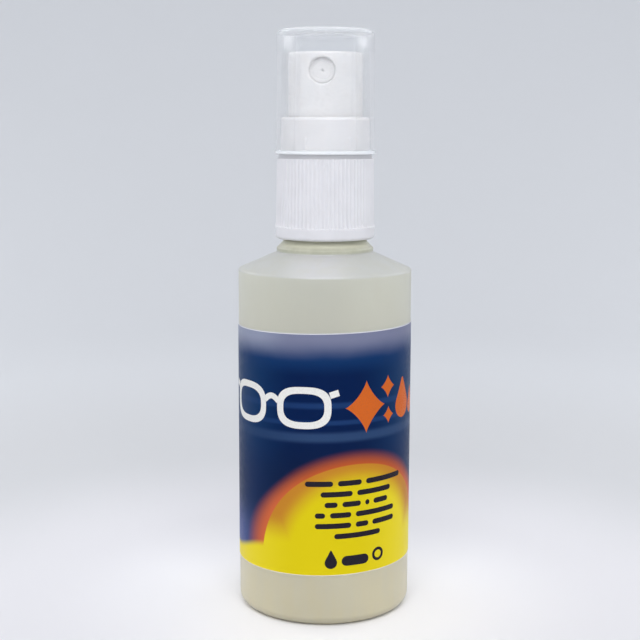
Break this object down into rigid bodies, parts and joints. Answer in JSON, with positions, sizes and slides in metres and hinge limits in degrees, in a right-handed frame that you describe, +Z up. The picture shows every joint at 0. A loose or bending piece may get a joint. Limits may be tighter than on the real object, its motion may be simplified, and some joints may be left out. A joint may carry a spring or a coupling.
{
  "type": "lens cleaning spray",
  "caption": "Pump spray bottle for cleaning spectacle lenses: round bottle, screw closure, fine-mist pump with actuator, dip tube and clear overcap.",
  "frame": {"origin": "centre of the face the bottle stands on", "axes": "+Z up along the bottle's axis, the nozzle faces -Y"},
  "size_m": [0.0332, 0.0331, 0.1103],
  "materials": {
    "milky_bottle": "smooth milky polyethylene",
    "printed_label": "glossy printed film",
    "fluid": "clear liquid",
    "white_plastic": "satin white polypropylene",
    "natural_plastic": "natural polypropylene",
    "gasket_foam": "matt foamed polyethylene",
    "tube_plastic": "natural polyethylene tube",
    "ball_steel": "polished stainless steel",
    "spring_steel": "drawn stainless wire",
    "clear_plastic": "clear glossy polypropylene"
  },
  "bodies": {
    "bottle": {"bottle": "milky_bottle", "label": "printed_label", "cleaning_fluid": "fluid"},
    "pump": {"pump_housing": "natural_plastic", "pump_retainer": "white_plastic", "neck_gasket": "gasket_foam", "dip_tube": "tube_plastic", "return_spring": "spring_steel"},
    "closure": {"closure": "white_plastic"},
    "stem": {"stem": "natural_plastic", "poppet": "natural_plastic"},
    "piston": {"piston": "natural_plastic"},
    "actuator": {"actuator": "white_plastic", "nozzle_insert": "white_plastic"},
    "overcap": {"overcap": "clear_plastic"},
    "inlet_ball": {"inlet_ball": "ball_steel"}
  },
  "joints": [
    {"name": "pump_lift", "type": "slide", "parent": "bottle", "child": "pump", "axis": [0, 0, 1], "range_m": [0, 0.00762]},
    {"name": "closure_turn", "type": "hinge", "parent": "pump", "child": "closure", "pos_m": [0, 0, 0.08], "axis": [0, 0, 1], "range_deg": [0, 864]},
    {"name": "pump_stroke", "type": "slide", "parent": "pump", "child": "stem", "axis": [0, 0, -1], "range_m": [0, 0.005], "stiffness_N_per_m": 800, "springref_m": -0.003, "deforming": ["return_spring"]},
    {"name": "piston_float", "type": "slide", "parent": "stem", "child": "piston", "axis": [0, 0, 1], "range_m": [0, 0.0006]},
    {"name": "actuator_turn", "type": "hinge", "parent": "stem", "child": "actuator", "pos_m": [0, 0, 0.1], "axis": [0, 0, 1], "continuous": true},
    {"name": "overcap_lift", "type": "slide", "parent": "closure", "child": "overcap", "axis": [0, 0, 1], "range_m": [0, 0.025]},
    {"name": "ball_lift", "type": "slide", "parent": "pump", "child": "inlet_ball", "axis": [0, 0, 1], "range_m": [0, 0.001]}
  ],
  "couplings": [
    {"joint": "closure_turn", "follows": "pump_lift", "rad_per_m": 1979}
  ]
}
